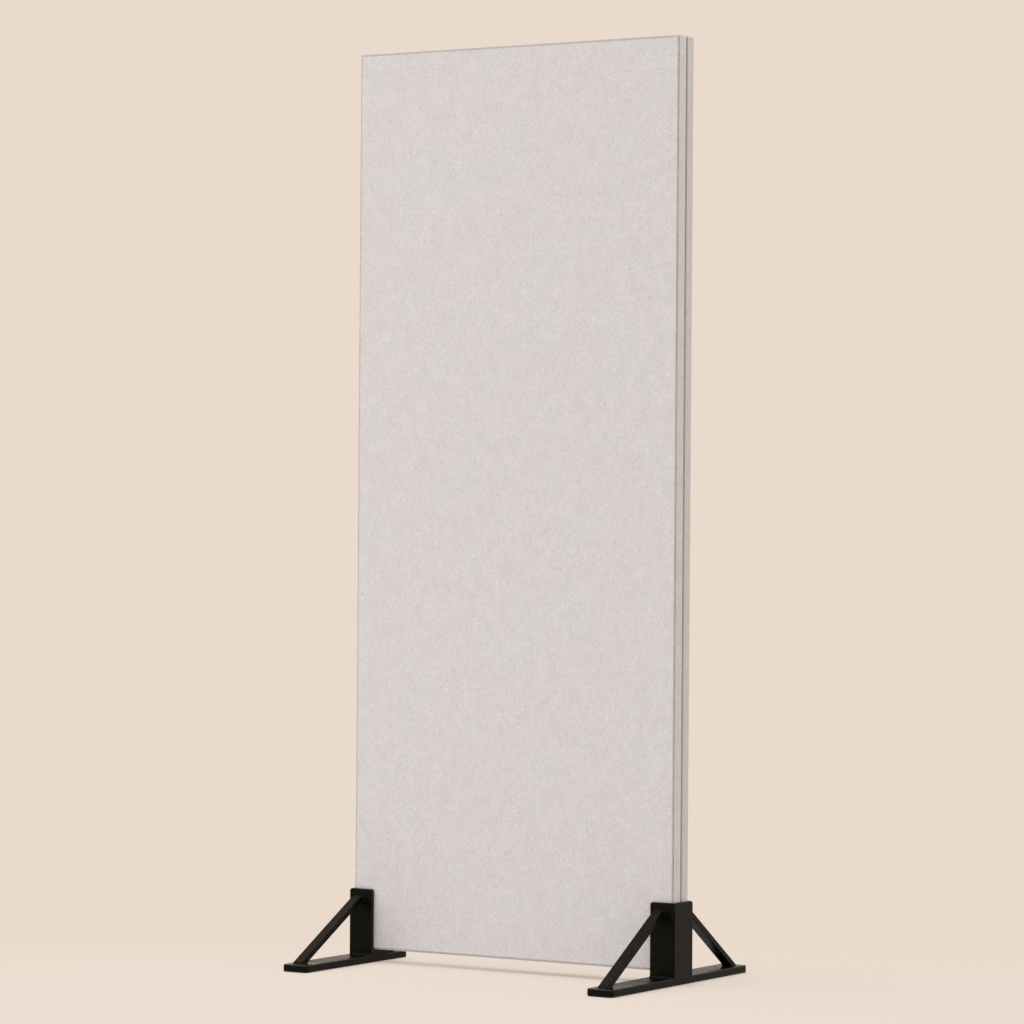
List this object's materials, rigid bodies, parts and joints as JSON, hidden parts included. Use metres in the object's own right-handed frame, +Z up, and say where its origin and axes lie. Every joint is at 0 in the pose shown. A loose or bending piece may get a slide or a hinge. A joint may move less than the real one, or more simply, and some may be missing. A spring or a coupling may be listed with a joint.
{
  "type": "office partition",
  "caption": "Tall free-standing screen of fabric-wrapped boards, held at both lower corners in braced black steel feet.",
  "frame": {"origin": "on the floor, at the centre of the bounding box's underside: halfway along the panel and halfway between the ends of the longer foot", "axes": "+X along the panel to the right as seen from the front, -Y towards the front, +Z up"},
  "size_m": [0.713, 0.494, 1.725],
  "materials": {
    "black_steel": "satin powder coat",
    "floor_pad": "matt",
    "black_strip": "matt foam strip",
    "face_fabric": "light grey melange wool felt",
    "band_fabric": "light grey melange wool felt",
    "lining_cloth": "plain woven cotton",
    "felt": "pressed felt wadding",
    "hardboard": "smooth hardboard",
    "wool_infill": "sound-absorbing wool",
    "timber": "planed softwood"
  },
  "bodies": {
    "left_foot": {"left_base_bar": "black_steel", "left_front_brace": "black_steel", "left_front_cheek": "black_steel", "left_front_pad": "floor_pad", "left_outer_plate": "black_steel", "left_rear_brace": "black_steel", "left_rear_cheek": "black_steel", "left_rear_pad": "floor_pad", "left_saddle": "black_steel", "left_weld_beads": "black_steel"},
    "panel": {"bottom_spacer": "black_strip", "front_back_skin": "hardboard", "front_bottom_rail": "timber", "front_face_fabric": "face_fabric", "front_face_felt": "felt", "front_frame_dowels": "timber", "front_left_stile": "timber", "front_lining": "lining_cloth", "front_lower_infill": "wool_infill", "front_lower_rail": "timber", "front_middle_infill": "wool_infill", "front_right_stile": "timber", "front_side_band": "band_fabric", "front_top_rail": "timber", "front_upper_infill": "wool_infill", "front_upper_rail": "timber", "joining_dowels": "timber", "left_spacer": "black_strip", "rear_back_skin": "hardboard", "rear_bottom_rail": "timber", "rear_face_fabric": "face_fabric", "rear_face_felt": "felt", "rear_frame_dowels": "timber", "rear_left_stile": "timber", "rear_lining": "lining_cloth", "rear_lower_infill": "wool_infill", "rear_lower_rail": "timber", "rear_middle_infill": "wool_infill", "rear_right_stile": "timber", "rear_side_band": "band_fabric", "rear_top_rail": "timber", "rear_upper_infill": "wool_infill", "rear_upper_rail": "timber", "right_spacer": "black_strip", "top_spacer": "black_strip"},
    "right_foot": {"right_base_bar": "black_steel", "right_front_brace": "black_steel", "right_front_cheek": "black_steel", "right_front_pad": "floor_pad", "right_outer_plate": "black_steel", "right_rear_brace": "black_steel", "right_rear_cheek": "black_steel", "right_rear_pad": "floor_pad", "right_saddle": "black_steel", "right_weld_beads": "black_steel"}
  },
  "joints": [
    {"name": "panel_lift", "type": "slide", "parent": "left_foot", "child": "panel", "axis": [0, 0, 1], "range_m": [0, 0.13]},
    {"name": "right_foot_release", "type": "slide", "parent": "panel", "child": "right_foot", "axis": [0, 0, -1], "range_m": [0, 0.13]}
  ],
  "couplings": [
    {"joint": "right_foot_release", "follows": "panel_lift", "ratio": 1}
  ]
}
